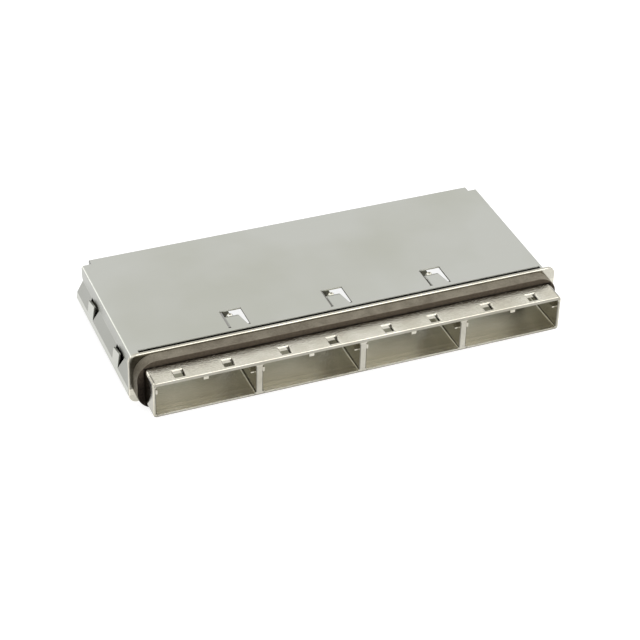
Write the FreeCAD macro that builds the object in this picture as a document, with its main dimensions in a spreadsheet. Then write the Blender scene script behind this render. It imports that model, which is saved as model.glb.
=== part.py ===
import FreeCAD, Part
import math
import os
import re
import Sketcher

# Shielded connector housing: a cast front shell with a row of ports, a gasket ring round
# its nose and a folded sheet cover. Each body is drawn from one datum: X = 0 on the middle
# divider, Y = 0 at the nose's front face with +Y to the rear, Z = 0 at the gasket's lowest
# edge. The bodies are then moved so that the origin is under the middle of the depth.

doc = FreeCAD.newDocument("ConnectorHousing")
sheet = doc.addObject("Spreadsheet::Sheet", "Sizes")

# Driving dimensions in millimetres
sizes = {
    # nose and ports of the casting
    "portCount": 4,
    "portPitch": 21.05,
    "dividerWidth": 1.35,
    "outerWall": 0.575,
    "ceilingWall": 0.85,
    "floorWall": 0.5,
    "portRadius": 0.4,
    "noseHeight": 7.8,
    "noseReach": 7.5,  # front face to flange
    "noseRadius": 0.7,
    "rimRadius": 0.25,  # outer edge of the nose's front
    "leadIn": 0.15,  # chamfer round each port
    # polarising key under each port's ceiling, nub on its left wall, rail on its right wall
    "keyWidth": 1.0,
    "keyHeight": 0.65,
    "keySetback": 0.25,
    "keyLength": 4.0,
    "nubReach": 0.35,
    "nubHeight": 1.0,
    "nubDrop": 0.7,  # below the port's ceiling
    "nubSetback": 0.2,
    "nubLength": 1.2,
    "nubRadius": 0.15,
    "railReach": 0.85,
    "railHeight": 0.25,
    "railDrop": 1.75,
    "railSetback": 0.8,
    "railLength": 5.0,
    # latch holes in the roof of each port
    "latchSpacing": 9.7,
    "latchWidth": 1.85,
    "latchLength": 2.1,
    "latchSetback": 0.75,
    "latchRim": 0.18,  # chamfer round each hole's upper edge
    # flange
    "flangeThick": 0.75,
    "flangeSide": 2.35,  # beyond the nose, each side
    "flangeAbove": 1.75,
    "flangeBelow": 1.35,
    "flangeRadius": 1.6,
    "flangeEdge": 0.25,
    # throat behind the flange
    "throatLength": 4.75,
    "throatDrop": 0.55,  # roof below the nose's top
    "throatWall": 1.3,
    "grooveAhead": 1.35,  # flange to the groove under the cover's front edge
    "grooveWidth": 2.0,
    "grooveDepth": 1.0,
    "grooveRoof": 0.25,  # least roof under the groove
    "grooveEnd": 0.6,  # inside the throat's sides
    # side walls and partitions behind the dividers, with their catch studs
    "sideWall": 1.2,
    "sideGap": 0.08,  # clear of the cover's side flaps
    "sideEnd": 1.0,  # ahead of the side flaps' rear ends
    "ledgeHeight": 0.8,  # foot of each side wall, out to the skirt's foot
    "partitionDrop": 1.6,
    "partitionGap": 0.25,  # clear of the rear flap
    "studSize": 1.3,
    "studDimple": 0.35,
    "studHeight": 1.35,
    "studCrown": 0.42,
    "studGap": 0.1,  # behind the tongue's tip
    # gasket
    "gasketWidth": 2.5,
    "gasketSide": 1.5,
    "gasketAbove": 1.37,
    "gasketBelow": 1.8,
    "gasketRadius": 4.0,
    "gasketEdge": 0.35,
    "gasketGap": 0.05,
    # cover sheet
    "sheetThick": 0.35,
    "foldInside": 0.1,  # inner radius of each fold
    "coverDepth": 43.4,  # nose's front face to the rear flap
    "coverLift": 0.13,  # top face above the nose's top
    "coverSide": 1.3,  # side face beyond the nose
    "coverSetback": 2.75,  # front edge behind the flange
    "notchLeft": 1.85,  # side faces to the ends of the set-back edge
    "notchRight": 0.75,
    "creaseDrop": 3.05,
    "creaseNick": 0.6,
    "flareDrop": 3.1,
    "flareOut": 1.05,
    "flapInset": 2.0,  # rear flap's ends inside the side faces
    "sideShort": 1.8,  # side flaps end ahead of the rear flap
    "footShort": 0.9,  # and their feet
    # tongue windows over the partitions
    "windowSetback": 0.9,  # behind the cover's front edge
    "windowLength": 5.75,
    "windowLeft": 1.9,
    "windowRight": 2.53,
    "tongueLength": 3.4,
    "slitLeft": 0.55,
    "slitRight": 0.43,
    "tongueTaper": 0.7,
    "tipLength": 0.6,
    "tipDrop": 0.27,
    # lances in the side flaps
    "lanceCount": 2,
    "lanceAhead": 5.2,  # flange to the first lance
    "lanceBehind": 6.95,  # last lance to the flap's rear end
    "lanceLength": 4.8,
    "lanceLean": 1.4,
    "tabLean": 0.4,
    "tabCrown": 0.6,  # level part of the tab's top, ahead of its slope
    "tabSlope": 0.55,
}
for row, (alias, size) in enumerate(sizes.items(), start=1):
    sheet.set("A%d" % row, alias)
    sheet.set("B%d" % row, str(size))
    sheet.setAlias("B%d" % row, alias)
doc.recompute()

# Levels and places that several features share
portWide = "(portPitch - dividerWidth)"
portRow = "(portPitch * (portCount - 1))"
wallRow = "(portPitch * (portCount - 2))"
firstPort = "(-%s / 2)" % portRow
firstWall = "(-%s / 2)" % wallRow
noseHalf = "(%s / 2 + %s / 2 + outerWall)" % (portRow, portWide)
seat = "gasketBelow"  # the board's top face, also the nose's underside
noseTop = "(gasketBelow + noseHeight)"
portTop = "(%s - ceilingWall)" % noseTop
portLow = "(%s + floorWall)" % seat
flangeRear = "(noseReach + flangeThick)"
partitionTop = "(%s - partitionDrop)" % noseTop
coverTop = "(%s + coverLift)" % noseTop
coverUnder = "(%s - sheetThick)" % coverTop
coverHalf = "(%s + coverSide)" % noseHalf
coverFront = "(%s + coverSetback)" % flangeRear
crease = "(%s - creaseDrop)" % coverTop
flareFoot = "(%s - flareDrop)" % crease
footHalf = "(%s + flareOut)" % coverHalf
sideRear = "(coverDepth - sideShort)"
footRear = "(coverDepth - footShort)"
windowFront = "(%s + windowSetback)" % coverFront
tongueEnd = "(%s + tongueLength)" % windowFront
touch = 0.01  # edges are picked by place and direction within this


def ref(text):
    # Each size named in an expression is read from the sheet
    return re.sub(r"[A-Za-z]+", lambda word: "Sizes." + word[0] if word[0] in sizes else word[0], text)


def number(text):
    return float(sheet.evalExpression(ref(text)))


def tie(item, prop, text):
    item.setExpression(prop, ref(text))


def minus(text):
    return "(-%s)" % text


def mirrored(corners):
    return [(minus("(%s)" % across), up) for across, up in corners]


def make_body(name):
    body = doc.addObject("PartDesign::Body", name)
    body.Label = name
    tie(body, "Placement.Base.y", "-coverDepth / 2")
    return body


def sketch_on(body, name, role, offset="0"):
    sketch = body.newObject("Sketcher::SketchObject", name)
    plane = [item for item in body.Origin.OriginFeatures if item.Role == role][0]
    sketch.AttachmentSupport = [(plane, "")]
    sketch.MapMode = "FlatFace"
    tie(sketch, "AttachmentOffset.Base.z", offset)
    return sketch


def cross_section(body, name, place):
    # Upright section at a distance behind the nose's face; its normal is -Y
    return sketch_on(body, name, "XZ_Plane", "-(%s)" % place)


def hold(sketch, kind, line, spot, text):
    index = sketch.addConstraint(Sketcher.Constraint(kind, -1, 1, line, spot, number(text)))
    tie(sketch, "Constraints[%d]" % index, text)


def outline(sketch, corners):
    # Closed polygon, each corner held by two expressions
    spots = [FreeCAD.Vector(number(across), number(up), 0) for across, up in corners]
    first = sketch.GeometryCount
    count = len(corners)
    for index in range(count):
        sketch.addGeometry(Part.LineSegment(spots[index], spots[(index + 1) % count]))
    for index, (across, up) in enumerate(corners):
        following = first + (index + 1) % count
        sketch.addConstraint(Sketcher.Constraint("Coincident", first + index, 2, following, 1))
        hold(sketch, "DistanceX", first + index, 1, across)
        hold(sketch, "DistanceY", first + index, 1, up)


def rectangle(sketch, left, right, low, high):
    outline(sketch, [(left, low), (right, low), (right, high), (left, high)])


def rounded(sketch, left, right, low, high, radius):
    # Rectangle with four equal round corners
    x1, x2, y1, y2, r = (number(text) for text in (left, right, low, high, radius))
    lines = [((x1 + r, y1), (x2 - r, y1)), ((x2, y1 + r), (x2, y2 - r)),
             ((x2 - r, y2), (x1 + r, y2)), ((x1, y2 - r), (x1, y1 + r))]
    centres = [(x2 - r, y1 + r), (x2 - r, y2 - r), (x1 + r, y2 - r), (x1 + r, y1 + r)]
    quarter = math.pi / 2
    first = sketch.GeometryCount
    for index, centre in enumerate(centres):
        start, end = (FreeCAD.Vector(*spot) for spot in lines[index])
        sketch.addGeometry(Part.LineSegment(start, end))
        ring = Part.Circle(FreeCAD.Vector(*centre), FreeCAD.Vector(0, 0, 1), r)
        sketch.addGeometry(Part.ArcOfCircle(ring, quarter * (index - 1), quarter * index))
    for index in range(len(centres)):
        line = first + 2 * index
        following = first + (2 * index + 2) % (2 * len(centres))
        sketch.addConstraint(Sketcher.Constraint("Tangent", line, 2, line + 1, 1))
        sketch.addConstraint(Sketcher.Constraint("Tangent", line + 1, 2, following, 1))
        sketch.addConstraint(Sketcher.Constraint("Vertical" if index % 2 else "Horizontal", line))
        if index:
            sketch.addConstraint(Sketcher.Constraint("Equal", first + 1, line + 1))
    index = sketch.addConstraint(Sketcher.Constraint("Radius", first + 1, r))
    tie(sketch, "Constraints[%d]" % index, radius)
    for line, kind, text in ((0, "DistanceY", low), (2, "DistanceX", right),
                             (4, "DistanceY", high), (6, "DistanceX", left)):
        hold(sketch, kind, first + line, 1, text)


def grow(body, kind, name, sketch, length, reverse=False, symmetric=False):
    feature = body.newObject("PartDesign::" + kind, name)
    feature.Profile = sketch
    feature.Reversed = reverse
    if symmetric:
        feature.SideType = "Symmetric"
    tie(feature, "Length", length)
    return feature


def row_of(body, name, features, axis, extent, count):
    pattern = body.newObject("PartDesign::LinearPattern", name)
    pattern.Originals = features
    line = [item for item in body.Origin.OriginFeatures if item.Role == axis][0]
    pattern.Direction = (line, [""])
    tie(pattern, "Length", extent)
    tie(pattern, "Occurrences", count)
    body.Tip = pattern
    return pattern


def soften(body, kind, name, base, test, size):
    # Fillet or chamfer on the edges whose middle and direction pass a test
    doc.recompute()
    names = []
    for index, edge in enumerate(base.Shape.Edges, start=1):
        half = (edge.FirstParameter + edge.LastParameter) / 2
        if test(edge.valueAt(half), edge.tangentAt(half)):
            names.append("Edge%d" % index)
    feature = body.newObject("PartDesign::" + kind, name)
    feature.Base = (base, names)
    tie(feature, "Radius" if kind == "Fillet" else "Size", size)
    return feature


def near(value, text):
    return abs(value - number(text)) < touch


def inside(middle, half, low, high):
    # On or within an upright rectangle centred on X = 0
    across = abs(middle.x) < number(half) + touch
    return across and number(low) - touch < middle.z < number(high) + touch


# Cast front shell
shell = make_body("front_shell")

nose = cross_section(shell, "NoseSection", "0")
rounded(nose, minus(noseHalf), noseHalf, seat, noseTop, "noseRadius")
grow(shell, "Pad", "Nose", nose, flangeRear, reverse=True)

flange = cross_section(shell, "FlangeSection", "noseReach")
flangeHalf = "(%s + flangeSide)" % noseHalf
rounded(flange, minus(flangeHalf), flangeHalf, "(%s - flangeBelow)" % seat,
        "(%s + flangeAbove)" % noseTop, "flangeRadius")
flangePad = grow(shell, "Pad", "Flange", flange, "flangeThick", reverse=True)


def on_flange_rim(middle, way):
    on_face = near(middle.y, "noseReach") or near(middle.y, flangeRear)
    return on_face and abs(way.y) < touch and not inside(middle, noseHalf, seat, noseTop)


soften(shell, "Fillet", "FlangeEdge", flangePad, on_flange_rim, "min(flangeEdge; flangeThick / 3)")

throat = cross_section(shell, "ThroatSection", flangeRear)
throatTop = "(%s - throatDrop)" % noseTop
rectangle(throat, minus(noseHalf), noseHalf, seat, throatTop)
grow(shell, "Pad", "Throat", throat, "throatLength", reverse=True)

groove = sketch_on(shell, "GrooveSection", "XY_Plane", throatTop)
grooveHalf = "(%s - grooveEnd)" % noseHalf
grooveFront = "(%s + grooveAhead)" % flangeRear
rectangle(groove, minus(grooveHalf), grooveHalf, grooveFront, grooveFront + " + grooveWidth")
grow(shell, "Pocket", "Groove", groove, "min(grooveDepth; throatWall - grooveRoof)")

# Side walls inside the cover's flaps, on ledges that close the skirt's foot
walls = cross_section(shell, "SideWallSection", flangeRear)
wallOut = "(%s - sheetThick - sideGap)" % coverHalf
wallIn = "(%s - sideWall)" % wallOut
ledgeOut = "(%s - sheetThick - sideGap)" % footHalf
ledgeTop = "(%s + ledgeHeight)" % seat
wallSide = [(wallIn, seat), (ledgeOut, seat), (ledgeOut, ledgeTop), (wallOut, ledgeTop),
            (wallOut, partitionTop), (wallIn, partitionTop)]
outline(walls, wallSide)
outline(walls, mirrored(wallSide))
grow(shell, "Pad", "SideWalls", walls, "%s - sideEnd - %s" % (sideRear, flangeRear), reverse=True)

# Dividers carried on as partitions to the rear, each with a dimpled stud behind its tongue
partition = cross_section(shell, "PartitionSection", flangeRear)
partitionRear = "(coverDepth - sheetThick - partitionGap)"
rectangle(partition, firstWall + " - dividerWidth / 2", firstWall + " + dividerWidth / 2",
          seat, partitionTop)
partitionPad = grow(shell, "Pad", "Partition", partition,
                    "%s - %s" % (partitionRear, flangeRear), reverse=True)

stud = sketch_on(shell, "StudSection", "XY_Plane", partitionTop)
studPlace = "(%s + tipLength + studGap + studSize / 2)" % tongueEnd
for index, size in enumerate(("studSize", "min(studDimple; studSize / 2)")):
    centre = FreeCAD.Vector(number(firstWall), number(studPlace), 0)
    stud.addGeometry(Part.Circle(centre, FreeCAD.Vector(0, 0, 1), number(size) / 2))
    hold(stud, "DistanceX", index, 3, firstWall)
    hold(stud, "DistanceY", index, 3, studPlace)
    spot = stud.addConstraint(Sketcher.Constraint("Diameter", index, number(size)))
    tie(stud, "Constraints[%d]" % spot, size)
studPad = grow(shell, "Pad", "Stud", stud, "studHeight")
partitions = row_of(shell, "Partitions", [partitionPad, studPad], "X_Axis", wallRow,
                    "portCount - 1")


def off_row(place, first):
    # Distance across to the nearest of a row of items at the port pitch
    pitch = number("portPitch")
    return abs((place - number(first) + pitch / 2) % pitch - pitch / 2)


def on_stud_crown(middle, way):
    rim = abs(off_row(middle.x, firstWall) - number("studSize / 2")) < touch
    return near(middle.z, partitionTop + " + studHeight") and rim and abs(way.z) < touch


soften(shell, "Fillet", "StudCrown", partitions, on_stud_crown,
       "min(studCrown; studSize / 3; studHeight / 2)")

# First port: mouth, lower throat, latch holes, key, nub and rail, then repeated along the nose
portLeft = "(%s - %s / 2)" % (firstPort, portWide)
portRight = "(%s + %s / 2)" % (firstPort, portWide)
mouth = cross_section(shell, "MouthSection", "0")
rounded(mouth, portLeft, portRight, portLow, portTop, "portRadius")
mouthCut = grow(shell, "Pocket", "Mouth", mouth, flangeRear)

passage = cross_section(shell, "PassageSection", flangeRear)
rounded(passage, portLeft, portRight, portLow, noseTop + " - throatDrop - throatWall", "portRadius")
passageCut = grow(shell, "Pocket", "Passage", passage, "throatLength")

latch = sketch_on(shell, "LatchSection", "XY_Plane", noseTop)
for side in ("-", "+"):
    middle = "(%s %s latchSpacing / 2)" % (firstPort, side)
    rectangle(latch, middle + " - latchWidth / 2", middle + " + latchWidth / 2",
              "latchSetback", "latchSetback + latchLength")
latchCut = grow(shell, "Pocket", "Latch", latch, "ceilingWall")

key = cross_section(shell, "KeySection", "keySetback")
rectangle(key, firstPort + " - keyWidth / 2", firstPort + " + keyWidth / 2",
          portTop + " - keyHeight", portTop)
keyPad = grow(shell, "Pad", "Key", key, "keyLength", reverse=True)

nub = cross_section(shell, "NubSection", "nubSetback")
nubHigh = "(%s - nubDrop)" % portTop
rounded(nub, portLeft + " - nubRadius", portLeft + " + nubReach", nubHigh + " - nubHeight", nubHigh,
        "nubRadius")
nubPad = grow(shell, "Pad", "Nub", nub, "nubLength", reverse=True)

rail = cross_section(shell, "RailSection", "railSetback")
railHigh = "(%s - railDrop)" % portTop
rectangle(rail, portRight + " - railReach", portRight, railHigh + " - railHeight", railHigh)
railPad = grow(shell, "Pad", "Rail", rail, "railLength", reverse=True)
portSteps = [mouthCut, passageCut, latchCut, keyPad, nubPad, railPad]
ports = row_of(shell, "Ports", portSteps, "X_Axis", portRow, "portCount")


def on_latch_rim(middle, way):
    aside = abs(off_row(middle.x, firstPort) - number("latchSpacing / 2"))
    behind = abs(middle.y - number("latchSetback + latchLength / 2"))
    beside = aside < number("latchWidth / 2") + touch and behind < number("latchLength / 2") + touch
    return near(middle.z, noseTop) and abs(way.z) < touch and beside


def on_port_rim(middle, way):
    # Within a port's outline on the front face, or just outside it on its chamfer
    border = number("leadIn") + touch
    across = off_row(middle.x, firstPort) < number(portWide) / 2 + border
    between = number(portLow) - border < middle.z < number(portTop) + border
    return near(middle.y, "0") and abs(way.y) < touch and across and between


def on_nose_rim(middle, way):
    return near(middle.y, "0") and abs(way.y) < touch and not on_port_rim(middle, way)


latchRims = soften(shell, "Chamfer", "LatchRim", ports, on_latch_rim, "min(latchRim; ceilingWall / 3)")
portRim = soften(shell, "Chamfer", "PortLeadIn", latchRims, on_port_rim,
                 "min(leadIn; floorWall / 3; outerWall / 3)")
shell.Tip = soften(shell, "Fillet", "NoseRim", portRim, on_nose_rim,
                   "min(rimRadius; floorWall / 2; outerWall / 2)")

# Gasket ring on the nose, against the flange
gasket = make_body("gasket")
ring = cross_section(gasket, "RingSection", "noseReach - gasketWidth")
gasketHalf = "(%s + gasketSide)" % noseHalf
holeHalf = "(%s + gasketGap)" % noseHalf
holeLow = "(%s - gasketGap)" % seat
holeHigh = "(%s + gasketGap)" % noseTop
rounded(ring, minus(gasketHalf), gasketHalf, "0", "(%s + gasketAbove)" % noseTop, "gasketRadius")
rounded(ring, minus(holeHalf), holeHalf, holeLow, holeHigh, "noseRadius + gasketGap")
ringPad = grow(gasket, "Pad", "Ring", ring, "gasketWidth", reverse=True)


def on_gasket_edge(middle, way):
    return abs(way.y) < touch and not inside(middle, holeHalf, holeLow, holeHigh)


gasket.Tip = soften(gasket, "Fillet", "RingEdge", ringPad, on_gasket_edge, "gasketEdge")

# Folded cover: top and side flaps with a flared skirt and an upright foot
cover = make_body("cover")
bend = "sheetThick * tan(atan(flareOut / flareDrop) / 2)"
skirt = [(coverHalf, coverTop), (coverHalf, crease), (footHalf, flareFoot), (footHalf, seat),
         (footHalf + " - sheetThick", seat),
         (footHalf + " - sheetThick", "%s - %s" % (flareFoot, bend)),
         (coverHalf + " - sheetThick", "%s - %s" % (crease, bend)),
         (coverHalf + " - sheetThick", coverUnder)]
section = cross_section(cover, "CoverSection", flangeRear)
outline(section, skirt + mirrored(reversed(skirt)))
grow(cover, "Pad", "Sheet", section, "%s - %s" % (footRear, flangeRear), reverse=True)

# The side flaps stop short of the rear, with a nick at the crease and a raked edge below it
trim = sketch_on(cover, "SideTrimSection", "YZ_Plane")
outline(trim, [(sideRear, coverTop + " + sheetThick"), (sideRear, crease + " + creaseNick"),
               (sideRear + " - creaseNick", crease), (footRear, seat),
               (footRear + " + sheetThick", seat),
               (footRear + " + sheetThick", coverTop + " + sheetThick")])
grow(cover, "Pocket", "SideTrim", trim, footHalf + " * 2 + sheetThick", symmetric=True)

# Rear flap folded down from the top
flap = sketch_on(cover, "RearFlapSection", "YZ_Plane")
outline(flap, [(sideRear + " - sheetThick", coverTop), ("coverDepth", coverTop),
               ("coverDepth", seat), ("coverDepth - sheetThick", seat),
               ("coverDepth - sheetThick", coverUnder), (sideRear + " - sheetThick", coverUnder)])
grow(cover, "Pad", "RearFlap", flap, "(%s - flapInset) * 2" % coverHalf, symmetric=True)

# Front edge set back behind the flange between the side faces
notch = sketch_on(cover, "FrontNotchSection", "XY_Plane", coverTop)
rectangle(notch, "notchLeft - " + coverHalf, coverHalf + " - notchRight",
          flangeRear + " - sheetThick", coverFront)
notchCut = grow(cover, "Pocket", "FrontNotch", notch, "sheetThick")


def on_fold(middle, way):
    side = near(abs(middle.x), coverHalf) and abs(way.y) > 1 - touch
    rear = near(middle.y, "coverDepth") and abs(way.x) > 1 - touch
    return near(middle.z, coverTop) and (side or rear)


def in_fold(middle, way):
    side = near(abs(middle.x), coverHalf + " - sheetThick") and abs(way.y) > 1 - touch
    rear = near(middle.y, "coverDepth - sheetThick") and abs(way.x) > 1 - touch
    return near(middle.z, coverUnder) and (side or rear)


folds = soften(cover, "Fillet", "Folds", notchCut, on_fold, "foldInside + sheetThick")
soften(cover, "Fillet", "FoldInsides", folds, in_fold, "foldInside")

# Spring tongue in its window, with a tip that dips ahead of the stud
window = sketch_on(cover, "WindowSection", "XY_Plane", coverTop)
left = "(%s - windowLeft)" % firstWall
right = "(%s + windowRight)" % firstWall
windowRear = "(%s + windowLength)" % windowFront
tongueLeft = "(%s + slitLeft)" % left
tongueRight = "(%s - slitRight)" % right
tipRight = "(%s - tongueTaper)" % tongueRight
outline(window, [(left, windowFront), (tongueLeft, windowFront), (tongueLeft, tongueEnd),
                 (tipRight, tongueEnd), (tongueRight, windowFront), (right, windowFront),
                 (right, windowRear), (left, windowRear)])
windowCut = grow(cover, "Pocket", "Window", window, "sheetThick")

tip = sketch_on(cover, "TipSection", "YZ_Plane", "(%s + %s) / 2" % (tongueLeft, tipRight))
tipEnd = "(%s + tipLength)" % tongueEnd
outline(tip, [(tongueEnd, coverTop), (tongueEnd, coverUnder),
              (tipEnd, coverUnder + " - tipDrop"), (tipEnd, coverTop + " - tipDrop")])
tipPad = grow(cover, "Pad", "Tip", tip, "%s - %s" % (tipRight, tongueLeft), symmetric=True)
row_of(cover, "Tongues", [windowCut, tipPad], "X_Axis", wallRow, "portCount - 1")

# Lances in both side flaps: a slanted window in the skirt and a tab that stands on the foot
slot = sketch_on(cover, "LanceSection", "YZ_Plane")
lanceFront = "(%s + lanceAhead)" % flangeRear
lanceRear = "(%s + lanceLength)" % lanceFront
leanFront = "(%s + lanceLean)" % lanceFront
outline(slot, [(lanceFront, crease), (lanceRear, crease), (lanceRear, flareFoot),
               (leanFront, flareFoot)])
slotCut = grow(cover, "Pocket", "Lance", slot, footHalf + " * 2 + sheetThick", symmetric=True)

tab = cross_section(cover, "TabSection", leanFront)
tabRoot = "(%s - sheetThick)" % flareFoot
tabSide = [(footHalf, tabRoot), (footHalf, flareFoot), (footHalf + " - tabLean", crease),
           (footHalf + " - tabLean - sheetThick", crease), (footHalf + " - sheetThick", flareFoot),
           (footHalf + " - sheetThick", tabRoot)]
outline(tab, tabSide)
outline(tab, mirrored(tabSide))
tabPad = grow(cover, "Pad", "Tab", tab, "lanceLength - lanceLean", reverse=True)

slope = sketch_on(cover, "TabSlopeSection", "YZ_Plane")
outline(slope, [(leanFront + " + tabCrown", crease), (lanceRear, crease),
                (lanceRear, crease + " - tabSlope")])
slopeCut = grow(cover, "Pocket", "TabSlope", slope, footHalf + " * 2 + sheetThick", symmetric=True)
row_of(cover, "Lances", [slotCut, tabPad, slopeCut], "Y_Axis",
       "%s - lanceBehind - %s" % (sideRear, lanceRear), "lanceCount")

doc.recompute()
for item in doc.Objects:
    if "Invalid" in item.State or "Error" in item.State:
        raise RuntimeError("%s failed: %s" % (item.Name, item.State))
pieces = (shell, gasket, cover)
for piece in pieces:
    if piece.Shape.isNull() or not piece.Shape.isValid() or len(piece.Shape.Solids) != 1:
        raise RuntimeError("%s is not one valid solid" % piece.Label)

os.makedirs("parts", exist_ok=True)
for piece in pieces:
    piece.Shape.exportStep("parts/%s.step" % piece.Label)
    box = piece.Shape.BoundBox
    low = [round(value, 3) for value in (box.XMin, box.YMin, box.ZMin)]
    high = [round(value, 3) for value in (box.XMax, box.YMax, box.ZMax)]
    print(piece.Label, "volume %.1f" % piece.Shape.Volume, "from", low, "to", high)
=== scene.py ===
import math

import bmesh
import bpy
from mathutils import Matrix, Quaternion, Vector, noise


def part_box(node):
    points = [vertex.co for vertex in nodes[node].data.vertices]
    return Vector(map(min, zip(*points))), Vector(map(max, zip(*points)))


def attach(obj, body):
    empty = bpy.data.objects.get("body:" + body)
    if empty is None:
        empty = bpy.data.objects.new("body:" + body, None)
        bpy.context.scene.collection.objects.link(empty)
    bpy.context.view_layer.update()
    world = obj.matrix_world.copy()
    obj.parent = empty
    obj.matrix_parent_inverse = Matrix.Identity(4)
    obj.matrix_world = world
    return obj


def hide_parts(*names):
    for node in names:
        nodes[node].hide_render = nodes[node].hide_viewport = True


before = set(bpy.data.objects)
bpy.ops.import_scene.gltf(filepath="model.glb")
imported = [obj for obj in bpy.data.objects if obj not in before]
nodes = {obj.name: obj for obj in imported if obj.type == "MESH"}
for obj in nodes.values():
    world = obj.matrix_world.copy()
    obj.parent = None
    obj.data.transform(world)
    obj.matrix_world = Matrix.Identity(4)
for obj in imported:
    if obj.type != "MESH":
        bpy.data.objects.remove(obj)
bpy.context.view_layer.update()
scene = bpy.context.scene
scene.view_settings.view_transform = "Standard"
mm = 0.001
print("frame loaded:", sorted(nodes))


def linear(hexColour):  # sRGB hex to the linear colour that the shaders take
    parts = [int(hexColour[start:start + 2], 16) / 255 for start in (1, 3, 5)]
    straight = [part / 12.92 if part <= 0.04045 else ((part + 0.055) / 1.055) ** 2.4 for part in parts]
    return (*straight, 1.0)


def grey(value):
    return (value, value, value, 1.0)


def addNode(tree, kind, settings=None, links=None):
    node = tree.nodes.new(kind)
    for name, value in (settings or {}).items():
        if isinstance(name, int) or name in node.inputs:
            node.inputs[name].default_value = value
        else:
            setattr(node, name, value)
    for name, source in (links or {}).items():
        tree.links.new(source, node.inputs[name])
    return node


def newMaterial(name):
    material = bpy.data.materials.new(name)
    material.use_nodes = True
    tree = material.node_tree
    tree.nodes.clear()
    return material, tree


def setRamp(node, places, colours):
    ramp = node.color_ramp
    while len(ramp.elements) < len(places):
        ramp.elements.new(1.0)
    for element, place, colour in zip(ramp.elements, places, colours):
        element.position = place
        element.color = colour


def paintLightAndShade(tree, colour, spot, facing, paintedZones):
    # Paints light and shade into the plate's colour, lighter or darker within boxes that are fixed to the
    # part
    for zone in paintedZones:
        masks = []
        for axis in [name for name in ("X", "Y", "Z") if name in zone]:
            middle, reach = zone[axis]
            near = addNode(tree, "ShaderNodeMath", {"operation": "COMPARE", 1: middle * mm, 2: reach * mm},
                           {0: spot.outputs[axis]})
            masks.append(near.outputs["Value"])
        if "side" in zone:  # only faces turned that far to the left
            start, full = zone["side"]
            turned = addNode(tree, "ShaderNodeMapRange", {"From Min": start, "From Max": full},
                             {"Value": facing.outputs["X"]})
            masks.append(turned.outputs["Result"])
        inside = masks[0]
        for mask in masks[1:]:
            both = addNode(tree, "ShaderNodeMath", {"operation": "MULTIPLY"}, {0: inside, 1: mask})
            inside = both.outputs["Value"]
        shade = addNode(tree, "ShaderNodeMapRange", {"To Min": 1.0, "To Max": zone["shade"]},
                        {"Value": inside})
        plate = addNode(tree, "ShaderNodeHueSaturation", {"Saturation": zone.get("saturation", 1.0)},
                        {"Color": colour, "Value": shade.outputs["Result"], "Fac": inside})
        colour = plate.outputs["Color"]
    return colour


# Nickel-plated steel sheet: rolled bright, then plated, so a soft grey mirror with faint drawn lines
sheetLook = {
    "pale": "#C6C7C0",
    "dull": "#BEBFB5",
    "cloud": 24.0,  # mm, slow change of tint across the sheet
    "cloudStops": (0.35, 0.62),  # noise at which the tint is dull and pale
    "lineSpacing": 0.5,  # mm, rolling lines, drawn coarser than real so that they show
    "lineStretch": 0.03,  # pace of the noise along the lines, against 1 across them
    "lineBump": 0.04,
    "lineDepth": 0.02,  # mm
    "roughness": (0.27, 0.34),
    "square": (0.9, 0.98),  # how straight a face looks along an axis, from slanted to square
    "flared": (0.16, 0.28),  # how far up a face of the flared skirt looks
    "crease": 6.7,  # mm, height of the fold between the skirt and the upright strip
    "creaseSoft": 0.1,  # mm, over which the shade changes there
    "skirtPaintedShade": 0.64,  # painted shade on the skirt and the strip above it
    "stripPaintedShade": 0.73,
    "bend": (0.4, 0.48),  # slant of the cover's long folds, along which a highlight is painted as a bright line
    "bendPaintedHighlight": 1.6,
    "sheared": (9.5, 9.56),  # mm, height above which a face to the front is the sheared edge: matt, with its colour lightened as a painted highlight
    "shearedMetal": 0.15,
    "shearedPaintedHighlight": 1.25,
    "paintedZones": [  # painted shade on the end face at the step of the rear corner
        {"Y": (20.86, 0.94), "Z": (9.3, 0.9), "shade": 0.12, "side": (-0.8, -0.95)},
    ],
}


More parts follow.
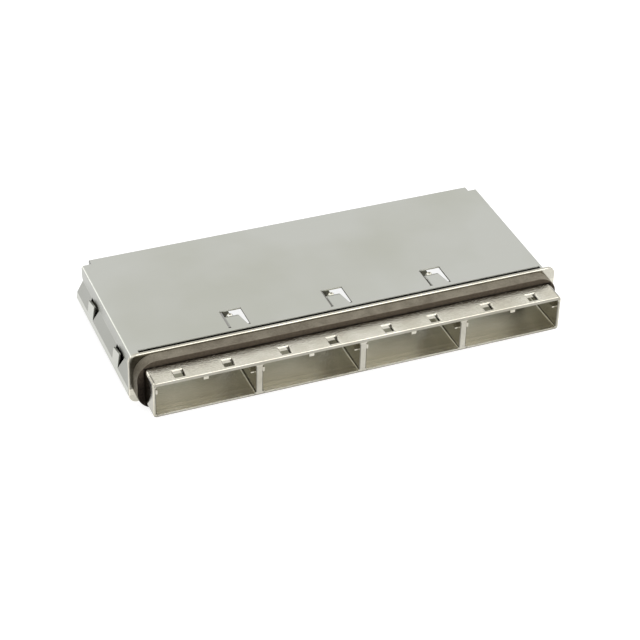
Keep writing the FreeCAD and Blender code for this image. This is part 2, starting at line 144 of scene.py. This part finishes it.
def nickelSheet():
    look = sheetLook
    material, tree = newMaterial("nickelPlatedSheet")
    place = addNode(tree, "ShaderNodeTexCoord").outputs["Object"]
    spot = addNode(tree, "ShaderNodeSeparateXYZ", links={"Vector": place})
    surface = addNode(tree, "ShaderNodeNewGeometry")
    facing = addNode(tree, "ShaderNodeSeparateXYZ", links={"Vector": surface.outputs["Normal"]})
    cloud = addNode(tree, "ShaderNodeTexNoise", {"Scale": 1 / (look["cloud"] * mm), "Detail": 3.0},
                    {"Vector": place})
    tint = addNode(tree, "ShaderNodeValToRGB", links={"Fac": cloud.outputs["Fac"]})
    setRamp(tint, look["cloudStops"], [linear(look["dull"]), linear(look["pale"])])

    # painted shade on the skirt below the crease and on the upright strip above it
    slanted, square = look["square"]
    sideways = addNode(tree, "ShaderNodeMath", {"operation": "ABSOLUTE"}, {0: facing.outputs["X"]})
    upright = addNode(tree, "ShaderNodeMapRange", {"From Min": slanted, "From Max": square},
                      {"Value": sideways.outputs["Value"]})
    flared = addNode(tree, "ShaderNodeMapRange",
                     {"From Min": look["flared"][0], "From Max": look["flared"][1]},
                     {"Value": facing.outputs["Z"]})
    shades = []
    for facet, soft, value in ((flared, -look["creaseSoft"], look["skirtPaintedShade"]),
                               (upright, look["creaseSoft"], look["stripPaintedShade"])):
        level = addNode(tree, "ShaderNodeMapRange",
                        {"From Min": look["crease"] * mm, "From Max": (look["crease"] + soft) * mm},
                        {"Value": spot.outputs["Z"]})
        part = addNode(tree, "ShaderNodeMath", {"operation": "MULTIPLY"},
                       {0: level.outputs["Result"], 1: facet.outputs["Result"]})
        shades.append(addNode(tree, "ShaderNodeMapRange", {"To Min": 1.0, "To Max": value},
                              {"Value": part.outputs["Value"]}))
    shade = addNode(tree, "ShaderNodeMath", {"operation": "MULTIPLY"},
                    {0: shades[0].outputs["Result"], 1: shades[1].outputs["Result"]})

    # painted highlight along the folds
    slant = addNode(tree, "ShaderNodeMath", {"operation": "MULTIPLY"},
                    {0: sideways.outputs["Value"], 1: facing.outputs["Z"]})
    bend = addNode(tree, "ShaderNodeMapRange", {"From Min": look["bend"][0], "From Max": look["bend"][1]},
                   {"Value": slant.outputs["Value"]})
    folded = addNode(tree, "ShaderNodeMapRange", {"To Max": look["bendPaintedHighlight"]},
                     {"Value": bend.outputs["Result"], "To Min": shade.outputs["Value"]})

    # sheared front edge: less metallic for a matt cut, and lightened as a painted highlight
    frontal = addNode(tree, "ShaderNodeMapRange", {"From Min": -slanted, "From Max": -square},
                      {"Value": facing.outputs["Y"]})
    upper = addNode(tree, "ShaderNodeMapRange",
                    {"From Min": look["sheared"][0] * mm, "From Max": look["sheared"][1] * mm},
                    {"Value": spot.outputs["Z"]})
    cut = addNode(tree, "ShaderNodeMath", {"operation": "MULTIPLY"},
                  {0: frontal.outputs["Result"], 1: upper.outputs["Result"]})
    paintedBrightness = addNode(tree, "ShaderNodeMapRange", {"To Max": look["shearedPaintedHighlight"]},
                   {"Value": cut.outputs["Value"], "To Min": folded.outputs["Result"]})
    plated = addNode(tree, "ShaderNodeMapRange", {"To Min": 1.0, "To Max": look["shearedMetal"]},
                     {"Value": cut.outputs["Value"]})
    plate = addNode(tree, "ShaderNodeHueSaturation",
                    links={"Color": tint.outputs["Color"], "Value": paintedBrightness.outputs["Result"]})
    colour = paintLightAndShade(tree, plate.outputs["Color"], spot, facing, look["paintedZones"])

    # rolling lines along X
    stretch = addNode(tree, "ShaderNodeMapping", {"Scale": (look["lineStretch"], 1.0, 1.0)},
                      {"Vector": place})
    lines = addNode(tree, "ShaderNodeTexNoise", {"Scale": 1 / (look["lineSpacing"] * mm), "Detail": 4.0},
                    {"Vector": stretch.outputs["Vector"]})
    rough = addNode(tree, "ShaderNodeMapRange",
                    {"To Min": look["roughness"][0], "To Max": look["roughness"][1]},
                    {"Value": lines.outputs["Fac"]})
    bump = addNode(tree, "ShaderNodeBump",
                   {"Strength": look["lineBump"], "Distance": look["lineDepth"] * mm},
                   {"Height": lines.outputs["Fac"]})
    metal = addNode(tree, "ShaderNodeBsdfPrincipled",
                    links={"Base Color": colour, "Metallic": plated.outputs["Result"],
                           "Roughness": rough.outputs["Result"], "Normal": bump.outputs["Normal"]})
    addNode(tree, "ShaderNodeOutputMaterial", links={"Surface": metal.outputs["BSDF"]})
    return material


# Nickel-plated zinc die casting: a fine cast grain under the plate makes it satin and a little warmer
castingLook = {
    "pale": "#C4C1B5",
    "dull": "#B5B1A3",
    "cloud": 9.0,  # mm, slow change of tint
    "cloudStops": (0.35, 0.65),  # noise at which the tint is dull and pale
    "grain": 0.28,  # mm, cast grain, drawn coarser than real so that it shows
    "grainDepth": 0.13,  # mm
    "hollows": (0.38, 0.62),  # noise in the grain's hollows and on its tops
    "speckle": (0.94, 1.05),  # brightness there
    "edge": (0.97, 0.8),  # how square to the axes a face is: slanted edges get a painted highlight
    "edgePaintedHighlight": 1.35,
    "roughness": (0.08, 0.16),  # faces that look sideways, smooth
    "bump": 0.06,
    "levelFrom": 0.8,  # faces that look up more than this have a rougher grain
    "levelRoughness": 0.24,
    "levelBump": {"low": 0.3, "high": 0.62, "beside": 1.0},  # inside, on top, and on top beside the gasket
    "levelHeight": (9.2, 9.5),  # mm, from inside to the top
    "levelBeside": (-18.5, -17.4),  # mm along Y, towards the gasket
    "paintedZones": [  # middle and half width in mm, and how bright the plate is painted there against the rest: painted light above 1, painted shade below
        # painted shade in the groove under the cover's front edge, and on the walls behind the throat
        {"Y": (-10.35, 1.8), "Z": (8.5, 0.6), "shade": 0.09},
        {"Y": (6.6, 15.1), "Z": (4.9, 3.25), "shade": 0.35},
        # flange: painted shade at the left end of its front, where it mirrors the dark gasket, and a painted
        # highlight on its rim
        {"X": (-40.5, 4.5), "Y": (-14.2, 0.06), "Z": (7.3, 3.6), "shade": 0.4},
        {"Y": (-13.83, 0.5), "Z": (11.25, 0.2), "shade": 1.1},
        {"Y": (-5.05, 0.75), "Z": (9.0, 0.45), "shade": 1.7},  # catch studs, painted highlight
        # latch holes: painted shade on the edges and on the right-hand walls
        {"Y": (-19.9, 1.25), "Z": (9.5, 0.085), "shade": 0.5},
        {"Y": (-19.9, 1.2), "Z": (9.1, 0.45), "shade": 0.12, "side": (-0.8, -0.95)},
        {"Y": (-19.2, 2.6), "Z": (9.65, 0.06), "shade": 1.36},  # nose's top, painted light
        # port walls: painted light on all, and painted shade on the right-hand ones again
        {"Y": (-15.3, 6.2), "Z": (5.5, 3.2), "shade": 1.16},
        {"Y": (-15.3, 6.2), "Z": (5.5, 3.2), "shade": 0.72, "side": (-0.8, -0.95)},
        # painted shade on the lip under each port: lead-in, then face; and on the lead-in of each right-hand
        # wall
        {"Y": (-21.62, 0.075), "Z": (2.22, 0.075), "shade": 0.22},
        {"Y": (-21.55, 0.16), "Z": (1.97, 0.18), "shade": 0.45},
        {"X": (0.3, 41.9), "Y": (-21.62, 0.075), "Z": (5.5, 3.2), "shade": 0.3, "side": (-0.5, -0.7)},
        # painted shade on the nose's front face above the ports, and between them
        {"Y": (-21.7, 0.01), "Z": (9.1, 0.3), "shade": 0.72},
        {"Y": (-21.7, 0.01), "Z": (5.3, 3.25), "shade": 0.9},
        # painted light on the port floors: first millimetre, and the next
        {"Y": (-21.05, 0.49), "Z": (2.3, 0.02), "shade": 1.5, "saturation": 0.6},
        {"Y": (-19.95, 0.6), "Z": (2.3, 0.02), "shade": 1.2, "saturation": 0.8},
    ],
}


def nickelCasting():
    look = castingLook
    material, tree = newMaterial("nickelPlatedZincCasting")
    place = addNode(tree, "ShaderNodeTexCoord").outputs["Object"]
    spot = addNode(tree, "ShaderNodeSeparateXYZ", links={"Vector": place})
    surface = addNode(tree, "ShaderNodeNewGeometry")
    facing = addNode(tree, "ShaderNodeSeparateXYZ", links={"Vector": surface.outputs["Normal"]})
    grain = addNode(tree, "ShaderNodeTexNoise", {"Scale": 1 / (look["grain"] * mm), "Detail": 3.0},
                    {"Vector": place})
    cloud = addNode(tree, "ShaderNodeTexNoise", {"Scale": 1 / (look["cloud"] * mm), "Detail": 2.0},
                    {"Vector": place})
    tint = addNode(tree, "ShaderNodeValToRGB", links={"Fac": cloud.outputs["Fac"]})
    setRamp(tint, look["cloudStops"], [linear(look["dull"]), linear(look["pale"])])
    speckle = addNode(tree, "ShaderNodeMapRange",
                      {"From Min": look["hollows"][0], "From Max": look["hollows"][1],
                       "To Min": look["speckle"][0], "To Max": look["speckle"][1]},
                      {"Value": grain.outputs["Fac"]})

    # painted highlight on slanted edges
    outward = addNode(tree, "ShaderNodeVectorMath", {"operation": "ABSOLUTE"},
                      {0: surface.outputs["Normal"]})
    sides = addNode(tree, "ShaderNodeSeparateXYZ", links={"Vector": outward.outputs["Vector"]})
    widest = addNode(tree, "ShaderNodeMath", {"operation": "MAXIMUM"},
                     {0: sides.outputs["X"], 1: sides.outputs["Y"]})
    square = addNode(tree, "ShaderNodeMath", {"operation": "MAXIMUM"},
                     {0: widest.outputs["Value"], 1: sides.outputs["Z"]})
    edge = addNode(tree, "ShaderNodeMapRange",
                   {"From Min": look["edge"][0], "From Max": look["edge"][1],
                    "To Min": 1.0, "To Max": look["edgePaintedHighlight"]},
                   {"Value": square.outputs["Value"]})
    shade = addNode(tree, "ShaderNodeMath", {"operation": "MULTIPLY"},
                    {0: speckle.outputs["Result"], 1: edge.outputs["Result"]})
    plate = addNode(tree, "ShaderNodeHueSaturation",
                    links={"Color": tint.outputs["Color"], "Value": shade.outputs["Value"]})
    colour = paintLightAndShade(tree, plate.outputs["Color"], spot, facing, look["paintedZones"])

    # smooth sides, rougher grain on faces that look up
    smooth = addNode(tree, "ShaderNodeMapRange",
                     {"To Min": look["roughness"][0], "To Max": look["roughness"][1]},
                     {"Value": grain.outputs["Fac"]})
    rough = addNode(tree, "ShaderNodeMapRange",
                    {"From Min": look["levelFrom"], "To Max": look["levelRoughness"]},
                    {"Value": facing.outputs["Z"], "To Min": smooth.outputs["Result"]})
    beside = addNode(tree, "ShaderNodeMapRange",
                     {"From Min": look["levelBeside"][0] * mm, "From Max": look["levelBeside"][1] * mm,
                      "To Min": look["levelBump"]["high"], "To Max": look["levelBump"]["beside"]},
                     {"Value": spot.outputs["Y"]})
    high = addNode(tree, "ShaderNodeMapRange",
                   {"From Min": look["levelHeight"][0] * mm, "From Max": look["levelHeight"][1] * mm,
                    "To Min": look["levelBump"]["low"]},
                   {"Value": spot.outputs["Z"], "To Max": beside.outputs["Result"]})
    relief = addNode(tree, "ShaderNodeMapRange", {"From Min": look["levelFrom"], "To Min": look["bump"]},
                     {"Value": facing.outputs["Z"], "To Max": high.outputs["Result"]})
    bump = addNode(tree, "ShaderNodeBump", {"Distance": look["grainDepth"] * mm},
                   {"Strength": relief.outputs["Result"], "Height": grain.outputs["Fac"]})
    metal = addNode(tree, "ShaderNodeBsdfPrincipled", {"Metallic": 1.0},
                    {"Base Color": colour, "Roughness": rough.outputs["Result"],
                     "Normal": bump.outputs["Normal"]})
    addNode(tree, "ShaderNodeOutputMaterial", links={"Surface": metal.outputs["BSDF"]})
    return material


# Metallised nylon wrap of the gasket: woven, grey-tan, a dry sheen with darker threads and patches
wrapLook = {
    "pale": "#938C7C",
    "dark": "#6B6355",
    "stops": (0.36, 0.62),  # noise at which the cloth is dark and pale
    "thread": 0.2,  # mm, threads and the dry glints between them
    "threadDepth": 0.05,  # mm
    "patch": 3.0,  # mm
    "metallic": 0.2,
    "roughness": 0.55,
    "specular": 0.2,
    "bump": 0.4,
}


def metallisedFabric():
    look = wrapLook
    material, tree = newMaterial("metallisedNylonFabric")
    place = addNode(tree, "ShaderNodeTexCoord").outputs["Object"]
    weave = addNode(tree, "ShaderNodeTexNoise", {"Scale": 1 / (look["thread"] * mm), "Detail": 2.0},
                    {"Vector": place})
    patch = addNode(tree, "ShaderNodeTexNoise", {"Scale": 1 / (look["patch"] * mm), "Detail": 5.0},
                    {"Vector": place})
    total = addNode(tree, "ShaderNodeMath", {"operation": "ADD"},
                    {0: weave.outputs["Fac"], 1: patch.outputs["Fac"]})
    mean = addNode(tree, "ShaderNodeMath", {"operation": "DIVIDE", 1: 2.0}, {0: total.outputs["Value"]})
    tint = addNode(tree, "ShaderNodeValToRGB", links={"Fac": mean.outputs["Value"]})
    setRamp(tint, look["stops"], [linear(look["dark"]), linear(look["pale"])])
    bump = addNode(tree, "ShaderNodeBump",
                   {"Strength": look["bump"], "Distance": look["threadDepth"] * mm},
                   {"Height": weave.outputs["Fac"]})
    cloth = addNode(tree, "ShaderNodeBsdfPrincipled",
                    {"Metallic": look["metallic"], "Roughness": look["roughness"],
                     "Specular IOR Level": look["specular"]},
                    {"Base Color": tint.outputs["Color"], "Normal": bump.outputs["Normal"]})
    addNode(tree, "ShaderNodeOutputMaterial", links={"Surface": cloth.outputs["BSDF"]})
    return material


# Carbon-filled urethane foam: cut face with open cells, almost black and quite dull, with a painted light
# that makes it browner away from the nose and higher up
foamLook = {
    "paintedLight": "#5B5247",
    "pale": "#37302A",
    "dark": "#171310",
    "stops": (0.04, 0.32, 0.9),  # from dark to pale foam, then to the painted light
    "cell": 0.35,  # mm, foam cells
    "cellDepth": 0.08,  # mm
    "cellShare": 0.4,  # shares of the cells and the painted light in the tint
    "paintedLightShare": 0.6,
    "nose": (42.05, 9.65),  # mm, half width and top of the nose in the ring
    "rim": (0.05, 0.22),  # mm beyond the nose, where the painted light begins and is full
    "paintedLowShade": (5.0, 10.0),  # mm above the table; the painted light is thinner lower down, a painted shade
    "roughness": 0.9,
    "specular": 0.1,
    "bump": 0.8,
}


def carbonFoam():
    look = foamLook
    material, tree = newMaterial("carbonFilledFoam")
    place = addNode(tree, "ShaderNodeTexCoord").outputs["Object"]
    spot = addNode(tree, "ShaderNodeSeparateXYZ", links={"Vector": place})
    cells = addNode(tree, "ShaderNodeTexVoronoi", {"Scale": 1 / (look["cell"] * mm)}, {"Vector": place})
    noseHalf, noseTop = look["nose"]
    across = addNode(tree, "ShaderNodeMath", {"operation": "ABSOLUTE"}, {0: spot.outputs["X"]})
    aside = addNode(tree, "ShaderNodeMath", {"operation": "SUBTRACT", 1: noseHalf * mm},
                    {0: across.outputs["Value"]})
    above = addNode(tree, "ShaderNodeMath", {"operation": "SUBTRACT", 1: noseTop * mm},
                    {0: spot.outputs["Z"]})
    beyond = addNode(tree, "ShaderNodeMath", {"operation": "MAXIMUM"},
                     {0: aside.outputs["Value"], 1: above.outputs["Value"]})
    rim = addNode(tree, "ShaderNodeMapRange",
                  {"From Min": look["rim"][0] * mm, "From Max": look["rim"][1] * mm},
                  {"Value": beyond.outputs["Value"]})
    paintedLowShade = addNode(tree, "ShaderNodeMapRange",
                   {"From Min": look["paintedLowShade"][0] * mm, "From Max": look["paintedLowShade"][1] * mm},
                   {"Value": spot.outputs["Z"]})
    paintedLight = addNode(tree, "ShaderNodeMath", {"operation": "MULTIPLY"},
                     {0: rim.outputs["Result"], 1: paintedLowShade.outputs["Result"]})
    paintedLightPart = addNode(tree, "ShaderNodeMath", {"operation": "MULTIPLY", 1: look["paintedLightShare"]},
                      {0: paintedLight.outputs["Value"]})
    both = addNode(tree, "ShaderNodeMath", {"operation": "MULTIPLY_ADD", 1: look["cellShare"]},
                   {0: cells.outputs["Distance"], 2: paintedLightPart.outputs["Value"]})
    tint = addNode(tree, "ShaderNodeValToRGB", links={"Fac": both.outputs["Value"]})
    setRamp(tint, look["stops"], [linear(look[name]) for name in ("dark", "pale", "paintedLight")])
    bump = addNode(tree, "ShaderNodeBump",
                   {"Strength": look["bump"], "Distance": look["cellDepth"] * mm},
                   {"Height": cells.outputs["Distance"]})
    foam = addNode(tree, "ShaderNodeBsdfPrincipled",
                   {"Roughness": look["roughness"], "Specular IOR Level": look["specular"]},
                   {"Base Color": tint.outputs["Color"], "Normal": bump.outputs["Normal"]})
    addNode(tree, "ShaderNodeOutputMaterial", links={"Surface": foam.outputs["BSDF"]})
    return material


def dress(obj, *materials):
    if obj.data.materials:  # clearing also resets each face's choice of material
        obj.data.materials.clear()
    for material in materials:
        obj.data.materials.append(material)


dress(nodes["cover"], nickelSheet())
dress(nodes["front_shell"], nickelCasting())
dress(nodes["gasket"], carbonFoam())
print("metal dressed")

# Foam ring: a wrapped strip with soft edges and a slightly uneven outer face, in the place of the plain ring
gasketLow, gasketHigh = (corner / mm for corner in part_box("gasket"))
ring = {  # sizes in mm
    "outerRadius": 4.0,
    "innerRadius": 0.75,
    "sideWall": 1.45,  # thickness round the nose
    "topWall": 1.32,
    "lowWall": 1.75,
    "edge": 0.35,  # soft outer edges
    "rearEdge": 0.1,
    "lump": 0.05,  # unevenness of the outer face
    "lumpPace": 0.6,  # how fast that changes, per mm
    "flatFoot": 0.05,  # the strip stays even below this height
    "cornerSteps": 14,  # steps round each corner, along each long and short side, and over each soft edge
    "longSteps": 120,
    "shortSteps": 8,
    "edgeSteps": 6,
}


def loopPoints(half, low, high, radius):  # rounded rectangle in X and Z, from the lower right corner
    centres = [Vector((half - radius, low + radius)), Vector((half - radius, high - radius)),
               Vector((radius - half, high - radius)), Vector((radius - half, low + radius))]
    points = []
    for side, centre in enumerate(centres):
        for step in range(ring["cornerSteps"] + 1):
            turn = math.radians(90 * (side - 1 + step / ring["cornerSteps"]))
            points.append(centre + radius * Vector((math.cos(turn), math.sin(turn))))
        start = points[-1]
        end = centres[(side + 1) % len(centres)] + start - centre
        steps = ring["longSteps"] if side % 2 else ring["shortSteps"]
        points += [start.lerp(end, step / steps) for step in range(1, steps)]
    return points


def stripSection():  # share of the way out from the nose, inset from there in mm, place along Y
    front, rear, steps = gasketLow.y, gasketHigh.y, ring["edgeSteps"]
    edge, rearEdge = ring["edge"], ring["rearEdge"]
    level = rear - rearEdge - front - edge
    turns = [math.radians(90 * step / steps) for step in range(steps + 1)]
    section = [(0.0, 0.0, rear), (0.0, 0.0, front), (0.5, 0.0, front)]
    firstWrapped = len(section) + steps // 2  # the wrap ends in the middle of each soft edge
    section += [(1.0, edge * (1 - math.sin(turn)), front + edge * (1 - math.cos(turn))) for turn in turns]
    section += [(1.0, 0.0, front + edge + level * step / steps) for step in range(1, steps)]
    lastWrapped = len(section) + steps // 2
    section += [(1.0, rearEdge * (1 - math.cos(turn)), rear - rearEdge * (1 - math.sin(turn)))
                for turn in turns]
    return section, range(firstWrapped, lastWrapped)


def buildGasket():
    half, low, high = gasketHigh.x, gasketLow.z, gasketHigh.z
    outer = loopPoints(half, low, high, ring["outerRadius"])
    inner = loopPoints(half - ring["sideWall"], low + ring["lowWall"], high - ring["topWall"],
                       ring["innerRadius"])
    section, wrapped = stripSection()
    mesh = bmesh.new()
    rows = []
    for outside, inside in zip(outer, inner):
        start = Vector((inside.x, 0.0, inside.y))
        way = Vector((outside.x, 0.0, outside.y)) - start
        row = []
        for share, inset, along in section:
            spot = start + Vector((0.0, along, 0.0)) + way * share * (1 - inset / way.length)
            if share == 1.0 and outside.y > ring["flatFoot"]:
                spot -= way.normalized() * ring["lump"] * abs(noise.noise(spot * ring["lumpPace"]))
            row.append(mesh.verts.new(spot * mm))
        rows.append(row)
    for row, following in zip(rows, rows[1:] + rows[:1]):
        for place in range(len(section)):
            beside = (place + 1) % len(section)
            face = mesh.faces.new((row[place], row[beside], following[beside], following[place]))
            face.smooth = True
            face.material_index = 0 if place in wrapped else 1
    bmesh.ops.recalc_face_normals(mesh, faces=mesh.faces)
    data = bpy.data.meshes.new("gasketStrip")
    mesh.to_mesh(data)
    mesh.free()
    strip = bpy.data.objects.new("gasketStrip", data)
    scene.collection.objects.link(strip)
    return strip


gasketStrip = buildGasket()
dress(gasketStrip, metallisedFabric(), carbonFoam())
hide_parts("gasket")
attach(gasketStrip, "root")
print("gasket built")

# White paper on the table: matt, with a glow so that it is white to the camera and in the metal
table = {  # size and drop in metres
    "size": 6.0,
    "drop": 0.00005,
    "colour": "#A6A6A6",
    "glow": 0.86,
    "roughness": 0.9,
    "specular": 0.1,
}


def whitePaper():
    material, tree = newMaterial("whitePaper")
    path = addNode(tree, "ShaderNodeLightPath")
    direct = addNode(tree, "ShaderNodeMath", {"operation": "MAXIMUM"},
                     {0: path.outputs["Is Camera Ray"], 1: path.outputs["Is Glossy Ray"]})
    seen = addNode(tree, "ShaderNodeMath", {"operation": "MAXIMUM"},
                   {0: direct.outputs["Value"], 1: path.outputs["Is Transmission Ray"]})
    glow = addNode(tree, "ShaderNodeMath", {"operation": "MULTIPLY", 1: table["glow"]},
                   {0: seen.outputs["Value"]})
    paper = addNode(tree, "ShaderNodeBsdfPrincipled",
                    {"Base Color": linear(table["colour"]), "Roughness": table["roughness"],
                     "Specular IOR Level": table["specular"], "Emission Color": grey(1.0)},
                    {"Emission Strength": glow.outputs["Value"]})
    addNode(tree, "ShaderNodeOutputMaterial", links={"Surface": paper.outputs["BSDF"]})
    return material


def buildTable():
    half = table["size"] / 2
    corners = ((-half, -half), (half, -half), (half, half), (-half, half))
    mesh = bmesh.new()
    mesh.faces.new([mesh.verts.new((x, y, 0.0)) for x, y in corners])
    data = bpy.data.meshes.new("table")
    mesh.to_mesh(data)
    mesh.free()
    top = bpy.data.objects.new("table", data)
    top.location.z = -table["drop"]
    scene.collection.objects.link(top)
    dress(top, whitePaper())
    return top


buildTable()

# Soft even room, dimmer at the horizon and for matt surfaces, and plain white to the camera
room = {"horizon": 0.45, "low": 0.98, "top": 1.0, "stops": (0.0, 0.35, 0.8), "forDiffuse": 0.55}


def lightRoom():
    world = bpy.data.worlds.new("studio")
    scene.world = world
    world.use_nodes = True
    tree = world.node_tree
    tree.nodes.clear()
    place = addNode(tree, "ShaderNodeTexCoord")
    parts = addNode(tree, "ShaderNodeSeparateXYZ", links={"Vector": place.outputs["Generated"]})
    fade = addNode(tree, "ShaderNodeValToRGB", links={"Fac": parts.outputs["Z"]})
    setRamp(fade, room["stops"], [grey(room[name]) for name in ("horizon", "low", "top")])
    path = addNode(tree, "ShaderNodeLightPath")
    seen = addNode(tree, "ShaderNodeMath", {"operation": "MAXIMUM"},
                   {0: path.outputs["Is Glossy Ray"], 1: path.outputs["Is Transmission Ray"]})
    strength = addNode(tree, "ShaderNodeMapRange", {"To Min": room["forDiffuse"], "To Max": 1.0},
                       {"Value": seen.outputs["Value"]})
    light = addNode(tree, "ShaderNodeBackground",
                    links={"Color": fade.outputs["Color"], "Strength": strength.outputs["Result"]})
    white = addNode(tree, "ShaderNodeBackground", {"Color": grey(1.0), "Strength": 1.0})
    mixed = addNode(tree, "ShaderNodeMixShader",
                    links={"Fac": path.outputs["Is Camera Ray"], 1: light.outputs["Background"],
                           2: white.outputs["Background"]})
    addNode(tree, "ShaderNodeOutputWorld", links={"Surface": mixed.outputs["Shader"]})


lightRoom()

# Softboxes: place and size in metres, power in watts. The large one isn't mirrored in the metal, because it
# would bleach the cover from behind. The two small ones are, and they draw the bright edges.
softboxes = {
    "keyBox": {"place": (0.28, -0.6, 0.62), "size": 0.9, "power": 4.0, "mirrored": False},
    "glintBox": {"place": (0.285, -0.515, 0.708), "size": 0.4, "power": 1.15, "mirrored": True},
    "rearBox": {"place": (-0.46, 0.63, 0.3), "size": 0.2, "power": 0.13, "mirrored": True},
}
for name, box in softboxes.items():
    lamp = bpy.data.lights.new(name, "AREA")
    lamp.shape = "SQUARE"
    lamp.size = box["size"]
    lamp.energy = box["power"]
    stand = bpy.data.objects.new(name, lamp)
    stand.visible_glossy = box["mirrored"]
    stand.location = box["place"]
    stand.rotation_euler = (-Vector(box["place"])).to_track_quat("-Z", "Y").to_euler()
    scene.collection.objects.link(stand)
print("studio lit")

# Camera of the photograph: metres, degrees, and lens and sensor in mm
shot = {
    "place": (-0.12960, -0.30796, 0.23742),
    "target": (-0.003588, -0.008365, 0.006),
    "roll": 1.76,
    "lens": 115.13,
    "sensor": 36.0,
}
camera = bpy.data.objects.new("camera", bpy.data.cameras.new("camera"))
camera.data.lens = shot["lens"]
camera.data.sensor_width = shot["sensor"]
camera.location = shot["place"]
aim = (Vector(shot["target"]) - Vector(shot["place"])).to_track_quat("-Z", "Y")
camera.rotation_mode = "QUATERNION"
camera.rotation_quaternion = aim @ Quaternion((0, 0, 1), math.radians(shot["roll"]))
scene.collection.objects.link(camera)
scene.camera = camera
